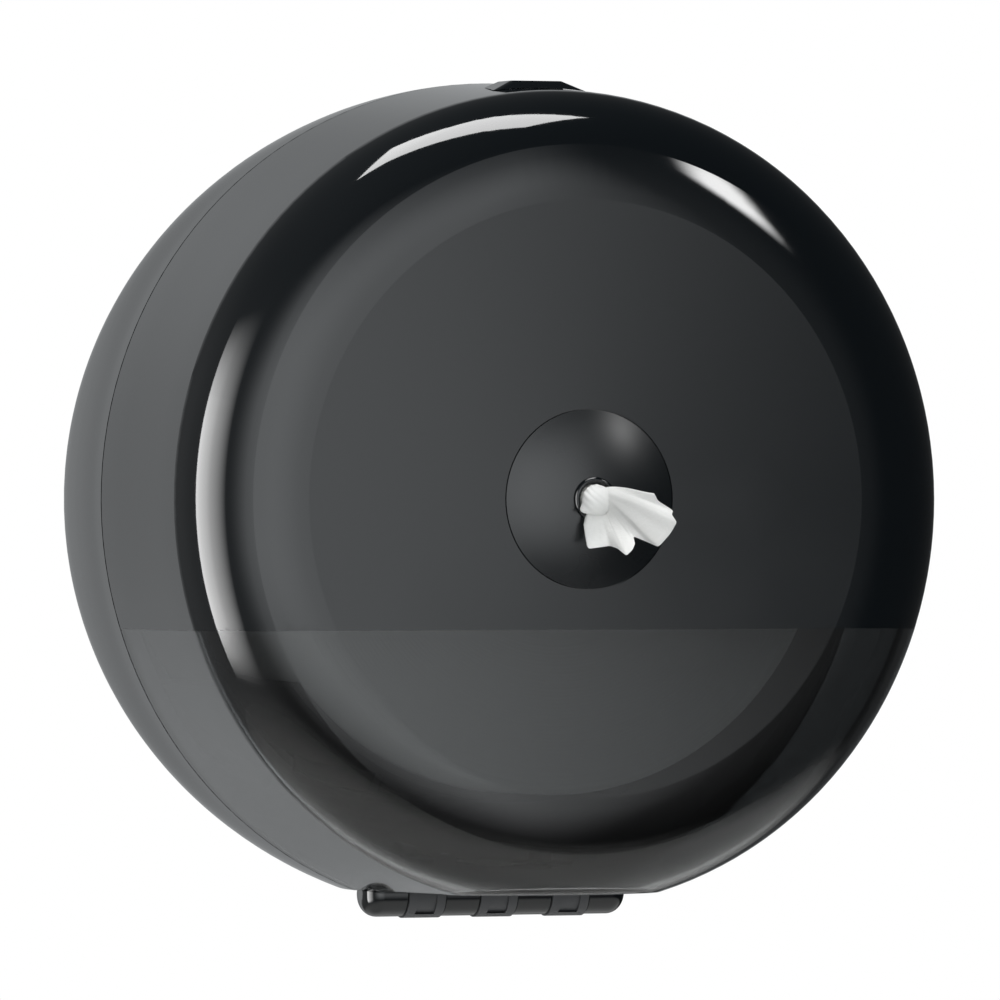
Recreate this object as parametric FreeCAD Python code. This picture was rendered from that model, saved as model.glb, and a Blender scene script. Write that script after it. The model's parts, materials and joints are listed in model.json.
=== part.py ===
import FreeCAD, Part
import math
import os

os.makedirs("parts", exist_ok=True)

# Lengths are in mm. The wall is the plane y = 0, the front looks along -Y, +Z is up,
# and the axis of the round body is the Y axis.

# Paper roll, which the rest is built round
ROLL_RADIUS = 77.0
ROLL_CORE_RADIUS = 24.0
ROLL_LENGTH = 119.5
ROLL_EDGE = 1.5
ROLL_CLEARANCE = 0.3
ROLL_ROOM = 30.2  # from the roll out to the body's wall, at the parting line
NOZZLE_ROOM = 22.5  # from the roll to the middle of the front face

# Round body
COVER_DEPTH = 66.8  # parting line to the middle of the front face
BACK_INSET = 24.9  # how much narrower the body is on the wall than at the parting line
WALL = 2.5
BACK_WALL = 3.0
PARTING_GAP = 0.5  # between the two rims
FLAT_HEIGHT = 7.0  # cut off the round underneath
FLAT_EDGE_RADIUS = 4.0
FACE_TILT_DEG = 1.2  # slope of the crowned face at its edge
BLEND_RADIUS = 50.0
BLEND_TILT_DEG = 18.0
CORNER_RADIUS = 21.2
DRAFT_DEG = 4.0
OVERRUN = 5.0  # how far a cut runs past what it cuts

# Lip of the housing that the cover closes over
LIP_HEIGHT = 4.0
LIP_THICKNESS = 2.0
LIP_GAP = 0.8
LIP_ROOT = 5.0
LIP_LOWEST = 70.0  # its ends lie this far below the axis

# Back plate that clamps the housing's flange to the wall, with the holes for the wall screws
PLATE_INSET = 3.8  # its edge inside the housing's outside
PLATE_LAP = 3.0
PLATE_CLEARANCE = 0.1
WALL_HOLE_RADIUS = 2.75
WALL_HOLES_ACROSS = 96.0
WALL_HOLES_UP = 80.0
WALL_PAD_RADIUS = 7.0
WALL_PAD_HEIGHT = 2.5

# Window in the lower part of the cover
WINDOW_GAP = 0.6  # under the ring that holds the nozzle
TONGUE = 1.2  # thickness of the tongue behind the cover's edge
LAP_HEIGHT = 5.0
LAP_CLEARANCE = 0.1

# Small screws, one size throughout
SCREW_HEAD_RADIUS = 2.4
SCREW_HEAD_HEIGHT = 1.5
SCREW_RADIUS = 1.2
SCREW_CLEARANCE = 0.15
SCREW_BOSS_RADIUS = 3.2

# Hinge under the parting line
KNUCKLE_RADIUS = 6.0  # cover's knuckles
BASE_KNUCKLE_RADIUS = 6.4
END_KNUCKLE = 11.6
BASE_KNUCKLE = 10.7
MID_KNUCKLE = 9.7
KNUCKLE_GAP = 0.4
KNUCKLE_ROUND = 4.5
POCKET_WIDTH = 5.4
POCKET_HEIGHT = 10.8
POCKET_DEPTH = 0.7
PIN_RADIUS = 1.75
PIN_CLEARANCE = 0.05
PIN_INSET = 1.5
LEAF_THICKNESS = 2.5
LEAF_DEPTH = 16.0
LEAF_INSET = 7.35  # its ends inside those of the knuckles
LEAF_SCREW_SPREAD = 40.0
LEAF_BOSS_HEIGHT = 4.0
SLOT_CLEARANCE = 0.8

# Trough that the roll lies in
CRADLE_WALL = 2.2
CRADLE_REACH = 92.0  # flange to front edge
CRADLE_HALF_DEG = 52.0
CRADLE_FLANGE = 3.0
CRADLE_FLANGE_IN = 7.0  # flange inside the trough, with its screws in the middle
CRADLE_EDGE_GAP = 2.1  # from the flange out to the housing
CRADLE_BOSS_HEIGHT = 3.0
CRADLE_SCREW_DEG = 40.0
CRADLE_RIB = 6.0
CRADLE_RIB_DEG = 25.0
CRADLE_RIB_SETBACK = 12.0

# Nozzle in the middle of the cover
DOME_RADIUS = 23.2
DOME_CURVE = 75.0
DOME_WALL = 2.0
DOME_GAP = 0.3
DOME_SEAT = 1.2
DOME_LEDGE = 3.7  # step from its edge in to its neck
NECK_WALL = 2.2
NECK_DEPTH = 10.0
NECK_CLEARANCE = 0.2
NOZZLE_HOLE_RADIUS = 4.3
BUSH_WALL = 0.7  # where it passes through the dome
BUSH_LIP = 0.75  # how far the lip covers the dome
BUSH_LIP_RISE = 1.1
BUSH_COLLAR = 1.8
BUSH_COLLAR_BAND = 2.2  # how far the collar reaches behind the dome
BUSH_CLEARANCE = 0.1
FUNNEL_WALL = 1.6
FUNNEL_DEPTH = 13.0
FUNNEL_RIM = 3.0
NUT_BAND = 6.5  # width of the ring nut on the neck
NUT_HEIGHT = 4.0
NUT_NOTCH_RADIUS = 2.0
NUT_NOTCH_COUNT = 8
SEAT_RING_BORDER = 2.0  # round the nut
SEAT_RING_HEIGHT = 2.0
FACE_RIB_COUNT = 7
FACE_RIB_INSET = 7.5  # from their ends to the edge of the crowned face
FACE_RIB_WIDTH = 1.6
FACE_RIB_HEIGHT = 2.0

# Push lock on top of the cover
LOCK_SETBACK = 40.0  # behind the front face
LOCK_RISE = 1.5  # above the cover
BEZEL_RIM = 1.0  # round the button
BEZEL_SLOPE_ACROSS = 6.5
BEZEL_SLOPE_ALONG = 2.8
BEZEL_CORNER = 1.5
BEZEL_SKIRT = 1.2  # how far the skirt shows under the cover's wall
BEZEL_CLEARANCE = 0.2
BUTTON_WIDTH = 11.9
BUTTON_LENGTH = 7.8
BUTTON_CLEARANCE = 0.3
BUTTON_SINK = 0.3  # button's rim below the bezel's
BUTTON_DISH_RADIUS = 14.0
BUTTON_DISH = 0.7
BUTTON_TRAVEL = 3.0  # also the rise of the latch's nose
BUTTON_FLANGE = 1.5
BUTTON_FLANGE_RIM = 1.6
STEM_HEIGHT = 6.0
STEM_WIDTH = 9.0
STEM_FRONT = 7.0
STEM_BACK = 7.5
HOOK_WIDTH = 12.0
HOOK_THICKNESS = 3.0
NOSE_LENGTH = 4.0
NOSE_TIP = 1.2
LATCH_SCREW_BACK = 4.2
LATCH_SCREW_LENGTH = 5.0
SPRING_RADIUS = 2.85  # to the middle of the wire
SPRING_WIRE_RADIUS = 0.35
SPRING_LENGTH = 7.0
SPRING_TURN_COUNT = 4
SPRING_FORWARD = 3.2
SPRING_PEG_RADIUS = 2.1
CAGE_WALL = 1.8
CAGE_FLOOR = 2.0
CAGE_CLEARANCE = 0.4
CAGE_BACK = 8.0
CAGE_HEIGHT = 12.0
CAGE_EAR_WIDTH = 8.5
CAGE_EAR_LENGTH = 9.0
CAGE_EAR_THICKNESS = 2.0
STRIKE_SETBACK = 2.2  # catch rib behind the parting line
STRIKE_RIB = 2.4
STRIKE_RIB_WIDTH = 18.0
STRIKE_CLEARANCE = 1.0
STRIKE_PLATE = 2.0
STRIKE_LENGTH = 20.0
STRIKE_SCREW_SPREAD = 19.0
STRIKE_BORDER = 3.5  # beside the screws
STRIKE_SCREW_INSET = 5.0
CATCH_GAP = 0.3

# Tissue that hangs out of the nozzle: a gathered knob and a fan of folds
TAIL_CLEARANCE = 0.4  # in the bush
TAIL_INSIDE = 11.0
TAIL_KNOB = 3.6  # how far the knob stands out of the bush
TAIL_KNOB_ROUND = 2.5
TAIL_THICKNESS = 0.8
TAIL_FACING_DEG = 22.4  # the side that the fan shows its folds to
TAIL_SPREAD = 10.0  # across
TAIL_REACH = 36.0  # out from the cover's face
TAIL_DROP = 15.0  # down
# Each row is across, out and down, from the upper right round to the lower left
TAIL_EDGE_SHARES = (
    (0.89, 0.64, -0.06),
    (1.00, 0.84, 0.20),
    (0.98, 0.95, 0.40),
    (0.64, 0.85, 0.82),
    (0.39, 0.56, 0.64),
    (0.03, 0.66, 0.97),
    (-0.12, 0.38, 0.82),
    (-0.56, 0.36, 0.85),
    (-0.36, 0.19, 0.35),
)
# Where those folds leave the knob: turns about its axis, from its right side downwards
TAIL_ROOT_SHARES = (-0.08, -0.02, 0.03, 0.09, 0.14, 0.2, 0.27, 0.34, 0.4)

FULL_TURN_DEG = 360.0
ORIGIN = FreeCAD.Vector(0, 0, 0)
X_AXIS = FreeCAD.Vector(1, 0, 0)
Y_AXIS = FreeCAD.Vector(0, 1, 0)
Z_AXIS = FreeCAD.Vector(0, 0, 1)

# Places along the axis that follow from the sizes above
cradle_back = -BACK_WALL - CRADLE_BOSS_HEIGHT
cradle_face = cradle_back - CRADLE_FLANGE
cradle_front = cradle_face - CRADLE_REACH
roll_back = cradle_face - ROLL_CLEARANCE
roll_front = roll_back - ROLL_LENGTH
face_y = roll_front - NOZZLE_ROOM
inside_y = face_y + WALL
parting_y = face_y + COVER_DEPTH
housing_rim_y = parting_y + PARTING_GAP / 2
cover_rim_y = parting_y - PARTING_GAP / 2

# Radii and heights that follow from the sizes above
body_radius = ROLL_RADIUS + ROLL_ROOM + WALL  # outside, at the parting line
housing_curve = (BACK_INSET**2 + parting_y**2) / (2 * BACK_INSET)  # of its bellied side
plate_radius = body_radius - BACK_INSET - PLATE_INSET
trough_radius = ROLL_RADIUS + ROLL_CLEARANCE
trough_outside = trough_radius + CRADLE_WALL
cradle_screw_radius = trough_radius - CRADLE_FLANGE_IN / 2
neck_radius = DOME_RADIUS - DOME_LEDGE
nut_radius = neck_radius + NUT_BAND
seat_ring_radius = nut_radius + SEAT_RING_BORDER
bush_radius = NOZZLE_HOLE_RADIUS + BUSH_WALL
bush_lip_radius = bush_radius + BUSH_LIP
bush_collar_radius = bush_radius + BUSH_COLLAR_BAND
tail_radius = NOZZLE_HOLE_RADIUS - TAIL_CLEARANCE
flat_z = FLAT_HEIGHT - body_radius
window_z = -(seat_ring_radius + WINDOW_GAP + LAP_CLEARANCE + LAP_HEIGHT)
reach = body_radius + OVERRUN
everywhere_y = (face_y - reach, OVERRUN)

# Basic solids


def box(x, y, z):
    corner = FreeCAD.Vector(x[0], y[0], z[0])
    return Part.makeBox(x[1] - x[0], y[1] - y[0], z[1] - z[0], corner)


def centred(width, middle=0):
    return (middle - width / 2, middle + width / 2)


def rod_x(radius, x, y, z):
    return Part.makeCylinder(radius, x[1] - x[0], FreeCAD.Vector(x[0], y, z), X_AXIS)


def rod_y(radius, y, x, z):
    return Part.makeCylinder(radius, y[1] - y[0], FreeCAD.Vector(x, y[0], z), Y_AXIS)


def rod_z(radius, z, x, y):
    return Part.makeCylinder(radius, z[1] - z[0], FreeCAD.Vector(x, y, z[0]), Z_AXIS)


def fused(first, *others):
    return first.fuse(list(others)).removeSplitter()


def line(start, end):
    return Part.makeLine(FreeCAD.Vector(*start, 0), FreeCAD.Vector(*end, 0))


def on_arc(centre, radius, tilt):
    """A point (radius, y) on an arc, with the tilt counted from the front outwards."""
    return (centre[0] + radius * math.sin(tilt), centre[1] - radius * math.cos(tilt))


def arc(centre, radius, start, end):
    tilts = (start, (start + end) / 2, end)
    places = [on_arc(centre, radius, tilt) for tilt in tilts]
    return Part.Arc(*[FreeCAD.Vector(*place, 0) for place in places]).toShape()


def turned(edges):
    """The solid that a closed outline of (radius, y) sweeps about the Y axis."""
    return Part.Face(Part.Wire(edges)).revolve(ORIGIN, Y_AXIS, FULL_TURN_DEG)


def lines(points):
    return [line(start, end) for start, end in zip(points, points[1:])]


def turned_points(points):
    return turned(lines(points + points[:1]))


def tube_y(inner, outer, y):
    return turned_points([(inner, y[0]), (outer, y[0]), (outer, y[1]), (inner, y[1])])


def turn_about_y(shape, degrees):
    """Turn a solid about the Y axis, counted from +X towards +Z."""
    shape.rotate(ORIGIN, Y_AXIS, -degrees)
    return shape


# Curves of the cover: a crowned face, a soft blend, a rounder corner and a drafted side
face_tilt = math.radians(FACE_TILT_DEG)
blend_tilt = math.radians(BLEND_TILT_DEG)
draft = math.radians(DRAFT_DEG)
side_tilt = math.pi / 2 - draft
blend_step = BLEND_RADIUS - CORNER_RADIUS
side_depth = (
    COVER_DEPTH
    - BLEND_RADIUS * math.cos(face_tilt)
    + blend_step * math.cos(blend_tilt)
    + CORNER_RADIUS * math.sin(draft)
)
face_radius = (
    body_radius
    + BLEND_RADIUS * math.sin(face_tilt)
    - blend_step * math.sin(blend_tilt)
    - CORNER_RADIUS * math.cos(draft)
    - side_depth * math.tan(draft)
) / (1 - math.tan(face_tilt / 2) * math.tan(draft))
crown_radius = face_radius / math.sin(face_tilt)
crown_centre = (0, face_y + crown_radius)
blend_centre = on_arc(crown_centre, crown_radius - BLEND_RADIUS, face_tilt)
corner_centre = on_arc(blend_centre, blend_step, blend_tilt)


def cover_side(inset, y):
    """Radius of the cover's drafted side, moved inwards by inset, at y."""
    start = on_arc(corner_centre, CORNER_RADIUS - inset, side_tilt)
    return start[0] + (y - start[1]) * math.tan(draft)


def cover_form(inset, rim_y):
    """The cover's outside moved inwards by inset and closed at rim_y."""
    crown = arc(crown_centre, crown_radius - inset, 0, face_tilt)
    blend = arc(blend_centre, BLEND_RADIUS - inset, face_tilt, blend_tilt)
    corner = arc(corner_centre, CORNER_RADIUS - inset, blend_tilt, side_tilt)
    side_start = on_arc(corner_centre, CORNER_RADIUS - inset, side_tilt)
    rim = (cover_side(inset, rim_y), rim_y)
    back = lines([side_start, rim, (0, rim_y), (0, face_y + inset)])
    return turned([crown, blend, corner] + back)


def housing_side(inset, y):
    """Radius of the housing's bellied side, moved inwards by inset, at y."""
    radius = housing_curve - inset
    return body_radius - housing_curve + math.sqrt(radius**2 - (y - parting_y) ** 2)


def housing_form(inset, front_y, back_y):
    """The housing's outside moved inwards by inset, between two planes."""
    centre = (body_radius - housing_curve, parting_y)
    radius = housing_curve - inset
    start = math.pi / 2 + math.asin((front_y - parting_y) / radius)
    end = math.pi / 2 + math.asin((back_y - parting_y) / radius)
    side = arc(centre, radius, start, end)
    front = on_arc(centre, radius, start)
    back = on_arc(centre, radius, end)
    return turned([side] + lines([back, (0, back_y), (0, front_y), front]))


def flattened(form, inset):
    """The form with its underside cut flat and the curved edge of that cut rounded."""
    floor_z = flat_z + inset
    form = form.cut(box((-reach, reach), everywhere_y, (-reach, floor_z)))
    edges = []
    for edge in form.Edges:
        low = edge.BoundBox.ZMin
        flat = abs(edge.BoundBox.ZMax - low) < WALL / 100 and abs(low - floor_z) < WALL / 100
        if flat and not isinstance(edge.Curve, Part.Line):
            edges.append(edge)
    return form.makeFillet(FLAT_EDGE_RADIUS - inset, edges)


# Screws


def screw(length, place, direction):
    """A pan-head screw: place is the middle of the bearing face under its head."""
    start = place - direction * SCREW_HEAD_HEIGHT
    head = Part.makeCylinder(SCREW_HEAD_RADIUS, SCREW_HEAD_HEIGHT, start, direction)
    shank = Part.makeCylinder(SCREW_RADIUS, length, place, direction)
    return fused(head, shank)


screw_hole_radius = SCREW_RADIUS + SCREW_CLEARANCE
screw_sink_radius = SCREW_HEAD_RADIUS + SCREW_CLEARANCE

# Hinge places
hinge_y = parting_y
hinge_z = flat_z + WALL + LEAF_THICKNESS - KNUCKLE_RADIUS
leaf_z = (hinge_z + KNUCKLE_RADIUS - LEAF_THICKNESS, hinge_z + KNUCKLE_RADIUS)
knuckle_widths = [END_KNUCKLE, BASE_KNUCKLE, MID_KNUCKLE, BASE_KNUCKLE]
knuckle_widths += [MID_KNUCKLE, BASE_KNUCKLE, END_KNUCKLE]
hinge_half = sum(knuckle_widths) / 2
leaf_half = hinge_half - LEAF_INSET
slot_radius = BASE_KNUCKLE_RADIUS + SLOT_CLEARANCE
slot_half = hinge_half + SLOT_CLEARANCE
leaf_middle = slot_radius + LEAF_DEPTH / 2
leaf_screw_length = WALL + LEAF_THICKNESS + LEAF_BOSS_HEIGHT - SCREW_HEAD_HEIGHT


def knuckle_spans():
    """The (low, high) x of each knuckle from left to right, with the gaps taken off."""
    spans = []
    start = -hinge_half
    for width in knuckle_widths:
        spans.append((start + KNUCKLE_GAP / 2, start + width - KNUCKLE_GAP / 2))
        start += width
    return spans


def leaf_screw_places(side):
    """Head seats of a leaf's screws, in front of the hinge (side -1) or behind it (1)."""
    y = hinge_y + side * leaf_middle
    seat_z = flat_z + SCREW_HEAD_HEIGHT
    return [FreeCAD.Vector(x, y, seat_z) for x in centred(LEAF_SCREW_SPREAD)]


def leaf_cuts(side):
    """What a shell loses for the hinge: the slot for the knuckles and the sunk screw holes."""
    cuts = [rod_x(slot_radius, (-slot_half, slot_half), hinge_y, hinge_z)]
    for place in leaf_screw_places(side):
        below = flat_z - OVERRUN
        cuts.append(rod_z(screw_hole_radius, (below, flat_z + WALL + OVERRUN), place.x, place.y))
        cuts.append(rod_z(screw_sink_radius, (below, place.z), place.x, place.y))
    return cuts


def knuckle(radius, span):
    """A round knuckle, with its end rounded over where it is an end of the hinge."""
    rod = rod_x(radius, span, hinge_y, hinge_z)
    ends = []
    for edge in rod.Edges:
        circle = isinstance(edge.Curve, Part.Circle)
        if circle and abs(edge.Curve.Center.x) > hinge_half - KNUCKLE_GAP:
            ends.append(edge)
    return rod.makeFillet(KNUCKLE_ROUND, ends) if ends else rod


def hinge_leaf(spans, radius, side):
    """A plate on the shell's floor with knuckles rolled over the hinge axis."""
    edge = hinge_y + side * slot_radius
    far = edge + side * LEAF_DEPTH
    leaf = box((-leaf_half, leaf_half), sorted((edge, far)), leaf_z)
    finger_y = sorted((hinge_y, edge + side * LEAF_THICKNESS))
    pieces = []
    for low, high in spans:
        pieces.append(knuckle(radius, (low, high)))
        finger_x = (max(low, -leaf_half), min(high, leaf_half))
        pieces.append(box(finger_x, finger_y, leaf_z))
    boss_z = (leaf_z[0], leaf_z[1] + LEAF_BOSS_HEIGHT)
    for place in leaf_screw_places(side):
        pieces.append(rod_z(SCREW_BOSS_RADIUS, boss_z, place.x, place.y))
    leaf = fused(leaf, *pieces)
    cuts = [rod_x(PIN_RADIUS + PIN_CLEARANCE, pin_hole, hinge_y, hinge_z)]
    for place in leaf_screw_places(side):
        cuts.append(rod_z(SCREW_RADIUS, (leaf_z[0], boss_z[1]), place.x, place.y))
    return leaf.cut(cuts)


pin_span = (-hinge_half + KNUCKLE_ROUND + PIN_INSET, hinge_half - PIN_INSET)
pin_hole = (pin_span[0], hinge_half + OVERRUN)


def base_hinge_leaf():
    """The housing's leaf; each knuckle has a shallow pocket that follows its round."""
    spans = knuckle_spans()[1::2]
    leaf = hinge_leaf(spans, BASE_KNUCKLE_RADIUS, 1)
    pocket_y = (hinge_y - BASE_KNUCKLE_RADIUS - OVERRUN, hinge_y)
    pocket_z = centred(POCKET_HEIGHT, hinge_z)
    pockets = []
    for low, high in spans:
        pocket = box(centred(POCKET_WIDTH, (low + high) / 2), pocket_y, pocket_z)
        floor = rod_x(BASE_KNUCKLE_RADIUS - POCKET_DEPTH, (low, high), hinge_y, hinge_z)
        pockets.append(pocket.cut(floor))
    return leaf.cut(pockets)


def cover_hinge_leaf():
    return hinge_leaf(knuckle_spans()[0::2], KNUCKLE_RADIUS, -1)


def hinge_pin():
    return rod_x(PIN_RADIUS, pin_span, hinge_y, hinge_z)


def leaf_screws(side):
    return [screw(leaf_screw_length, place, Z_AXIS) for place in leaf_screw_places(side)]


# Lock places
bezel_top_width = BUTTON_WIDTH + 2 * (BUTTON_CLEARANCE + BEZEL_RIM)
bezel_top_length = BUTTON_LENGTH + 2 * (BUTTON_CLEARANCE + BEZEL_RIM)
bezel_width = bezel_top_width + 2 * BEZEL_SLOPE_ACROSS
bezel_length = bezel_top_length + 2 * BEZEL_SLOPE_ALONG
lock_y = face_y + LOCK_SETBACK
cover_top = cover_side(0, lock_y)
lock_top = cover_top + LOCK_RISE
skirt_z = cover_top - WALL - BEZEL_SKIRT
flange_top = skirt_z - BEZEL_CLEARANCE / 2
stem_top = flange_top - BUTTON_FLANGE
hook_top = stem_top - STEM_HEIGHT
hook_bottom = hook_top - HOOK_THICKNESS
cage_floor_top = hook_bottom - SPRING_LENGTH
cage_bottom = cage_floor_top - CAGE_FLOOR
cage_top = cage_bottom + CAGE_HEIGHT
cage_inner = HOOK_WIDTH / 2 + CAGE_CLEARANCE
cage_outer = cage_inner + CAGE_WALL
cage_screw_x = cage_outer + CAGE_EAR_WIDTH / 2
strike_y = parting_y + STRIKE_SETBACK
strike_back = strike_y + STRIKE_LENGTH
nose_y = strike_y + STRIKE_RIB + CATCH_GAP
strike_bottom = hook_top + BUTTON_TRAVEL + STRIKE_CLEARANCE
strike_top = strike_bottom + STRIKE_PLATE
strike_screw_y = strike_back - STRIKE_SCREW_INSET


def strike_screw_places():
    return [
        FreeCAD.Vector(x, strike_screw_y, strike_bottom) for x in centred(STRIKE_SCREW_SPREAD)
    ]


def strike_boss_top(x):
    return math.sqrt(housing_side(WALL / 2, strike_screw_y) ** 2 - x**2)


strike_screw_length = strike_boss_top(STRIKE_SCREW_SPREAD / 2) - strike_bottom - WALL

cradle_screw_length = CRADLE_FLANGE - SCREW_HEAD_HEIGHT + CRADLE_BOSS_HEIGHT + BACK_WALL / 2


def cradle_screw_places():
    """Head seats of the cradle's screws, in the trough's flange."""
    places = []
    for turn in (-CRADLE_SCREW_DEG, 0, CRADLE_SCREW_DEG):
        angle = math.radians(turn)
        x = cradle_screw_radius * math.sin(angle)
        z = -cradle_screw_radius * math.cos(angle)
        places.append(FreeCAD.Vector(x, cradle_face + SCREW_HEAD_HEIGHT, z))
    return places


# Rear housing and back plate


def rear_housing():
    """The bellied side, with a rebated flange at the back that the plate lies in."""
    outside = flattened(housing_form(0, housing_rim_y, 0), 0)
    inside = flattened(housing_form(WALL, housing_rim_y - OVERRUN, -BACK_WALL), WALL)
    shell = outside.cut(inside)
    shell = fused(shell, housing_lip(), *strike_bosses())
    holes = leaf_cuts(1)
    holes.append(plate_form(PLATE_CLEARANCE, OVERRUN))
    for place in strike_screw_places():
        end = place.z + strike_screw_length
        holes.append(rod_z(SCREW_RADIUS, (strike_top - OVERRUN, end), place.x, place.y))
    return shell.cut(holes)


def housing_lip():
    """A rim inside the parting line, open at the bottom where the hinge is."""
    outer = body_radius - WALL - LIP_GAP
    inner = outer - LIP_THICKNESS
    root = body_radius - WALL / 2
    tip_y = parting_y - LIP_HEIGHT
    root_y = housing_rim_y + LIP_ROOT
    lip = turned_points(
        [
            (inner, tip_y),
            (outer, tip_y),
            (outer, housing_rim_y),
            (root, housing_rim_y),
            (root, root_y),
            (inner, root_y),
        ]
    )
    return lip.cut(box((-reach, reach), everywhere_y, (-reach, -LIP_LOWEST)))


def wall_hole_places():
    return [(x, z) for x in centred(WALL_HOLES_ACROSS) for z in centred(WALL_HOLES_UP)]


def strike_bosses():
    bosses = []
    for place in strike_screw_places():
        height = (strike_top, strike_boss_top(place.x))
        bosses.append(rod_z(SCREW_BOSS_RADIUS, height, place.x, place.y))
    return bosses


def plate_form(growth, overrun):
    """The plate's disc and the wider disc of its lap, both grown, run past their faces."""
    disc = rod_y(plate_radius - PLATE_LAP + growth, (-BACK_WALL - overrun, overrun), 0, 0)
    lap = rod_y(plate_radius + growth, (-BACK_WALL - overrun, -BACK_WALL / 2 + growth), 0, 0)
    return fused(disc, lap)


def back_plate():
    """The flat back, with pads round the wall screws and bosses for the cradle's screws."""
    root_y = -BACK_WALL / 2
    bosses = []
    holes = []
    for x, z in wall_hole_places():
        bosses.append(rod_y(WALL_PAD_RADIUS, (-BACK_WALL - WALL_PAD_HEIGHT, root_y), x, z))
        through = (-BACK_WALL - WALL_PAD_HEIGHT - OVERRUN, OVERRUN)
        holes.append(rod_y(WALL_HOLE_RADIUS, through, x, z))
    for place in cradle_screw_places():
        bosses.append(rod_y(SCREW_BOSS_RADIUS, (cradle_back, root_y), place.x, place.z))
        end = place.y + cradle_screw_length
        holes.append(rod_y(SCREW_RADIUS, (cradle_back - OVERRUN, end), place.x, place.z))
    return fused(plate_form(0, 0), *bosses).cut(holes)


# Roll and cradle


def wedge(half_degrees):
    """Everything within an angle of straight down, seen from the front."""
    far = 2 * reach
    half = math.radians(half_degrees)
    x = far * math.sin(half)
    z = -far * math.cos(half)
    start = everywhere_y[0]
    corners = [(0, 0), (x, z), (-x, z), (0, 0)]
    outline = Part.makePolygon([FreeCAD.Vector(a, start, b) for a, b in corners])
    return Part.Face(outline).extrude(Y_AXIS * (everywhere_y[1] - start))


def roll_cradle():
    trough = tube_y(trough_radius, trough_outside, (cradle_front, cradle_back))
    inner = trough_radius - CRADLE_FLANGE_IN
    outer = housing_side(WALL, cradle_back) - CRADLE_EDGE_GAP
    flange = tube_y(inner, outer, (cradle_face, cradle_back))
    cradle = fused(trough, flange).common(wedge(CRADLE_HALF_DEG))
    rib_z = (-trough_outside - CRADLE_RIB, -trough_radius - CRADLE_WALL / 2)
    ribs = []
    for turn in (-CRADLE_RIB_DEG, CRADLE_RIB_DEG):
        rib_y = (cradle_front + CRADLE_RIB_SETBACK, cradle_face - CRADLE_RIB_SETBACK)
        ribs.append(turn_about_y(box(centred(CRADLE_WALL), rib_y, rib_z), turn))
    cradle = fused(cradle, *ribs)
    holes = []
    for place in cradle_screw_places():
        holes.append(rod_y(screw_hole_radius, (cradle_face, cradle_back), place.x, place.z))
        sink = (cradle_face - OVERRUN, place.y)
        holes.append(rod_y(screw_sink_radius, sink, place.x, place.z))
    return cradle.cut(holes)


def cradle_screws():
    return [screw(cradle_screw_length, place, Y_AXIS) for place in cradle_screw_places()]


def paper_roll():
    roll = tube_y(ROLL_CORE_RADIUS, ROLL_RADIUS, (roll_front, roll_back))
    rims = [edge for edge in roll.Edges if abs(edge.Length - 2 * math.pi * ROLL_RADIUS) < ROLL_EDGE]
    return roll.makeFillet(ROLL_EDGE, rims)


# Cover and window


def cover_shell():
    outside = flattened(cover_form(0, cover_rim_y), 0)
    inside = flattened(cover_form(WALL, cover_rim_y + OVERRUN), WALL)
    return outside.cut(inside)


def level(low, high):
    return box((-reach, reach), everywhere_y, (low, high))


def front_cover():
    shell = cover_shell().common(level(window_z, reach))
    rebate = cover_form(WALL - TONGUE - LAP_CLEARANCE, cover_rim_y + OVERRUN)
    rebate = rebate.common(level(window_z - OVERRUN, window_z + LAP_HEIGHT + LAP_CLEARANCE))
    shell = shell.cut(rebate)
    shell = fused(shell, *cover_bosses())
    return shell.cut(cover_holes())


def cover_bosses():
    """The ring that the nozzle's nut bears on, ribs behind the face, and bosses for the lock."""
    root_y = face_y + WALL / 2
    bosses = [tube_y(neck_radius, seat_ring_radius, (root_y, inside_y + SEAT_RING_HEIGHT))]
    for number in range(FACE_RIB_COUNT):
        rib_x = (seat_ring_radius - FACE_RIB_WIDTH, face_radius - FACE_RIB_INSET)
        rib = box(rib_x, (root_y, inside_y + FACE_RIB_HEIGHT), centred(FACE_RIB_WIDTH))
        turn = FULL_TURN_DEG / 2 * number / (FACE_RIB_COUNT - 1)
        bosses.append(turn_about_y(rib, turn))
    for x in (-cage_screw_x, cage_screw_x):
        top = math.sqrt(cover_side(WALL / 2, lock_y) ** 2 - x**2)
        bosses.append(rod_z(SCREW_BOSS_RADIUS, (cage_top, top), x, lock_y))
    return bosses


def cover_holes():
    seat = DOME_RADIUS + DOME_GAP
    holes = [
        rod_y(seat, (face_y - OVERRUN, face_y + DOME_SEAT), 0, 0),
        rod_y(neck_radius + NECK_CLEARANCE, (face_y, inside_y + SEAT_RING_HEIGHT + OVERRUN), 0, 0),
    ]
    skirt_x = centred(bezel_top_width + 2 * BEZEL_CLEARANCE)
    skirt_y = centred(bezel_top_length + 2 * BEZEL_CLEARANCE, lock_y)
    holes.append(box(skirt_x, skirt_y, (skirt_z - OVERRUN, lock_top + OVERRUN)))
    for x in (-cage_screw_x, cage_screw_x):
        end = cage_top + cage_screw_length - CAGE_EAR_THICKNESS
        holes.append(rod_z(SCREW_RADIUS, (cage_top - OVERRUN, end), x, lock_y))
    return holes


def level_window():
    shell = cover_shell().common(level(-reach, window_z))
    tongue = cover_form(WALL - TONGUE, cover_rim_y).cut(cover_form(WALL, cover_rim_y + OVERRUN))
    tongue = tongue.common(level(window_z, window_z + LAP_HEIGHT))
    return fused(shell, tongue).cut(leaf_cuts(-1))


# Nozzle
dome_height = DOME_CURVE - math.sqrt(DOME_CURVE**2 - DOME_RADIUS**2)
dome_centre = (0, face_y - dome_height + DOME_CURVE)
dome_hole = bush_radius + BUSH_CLEARANCE / 2


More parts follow.
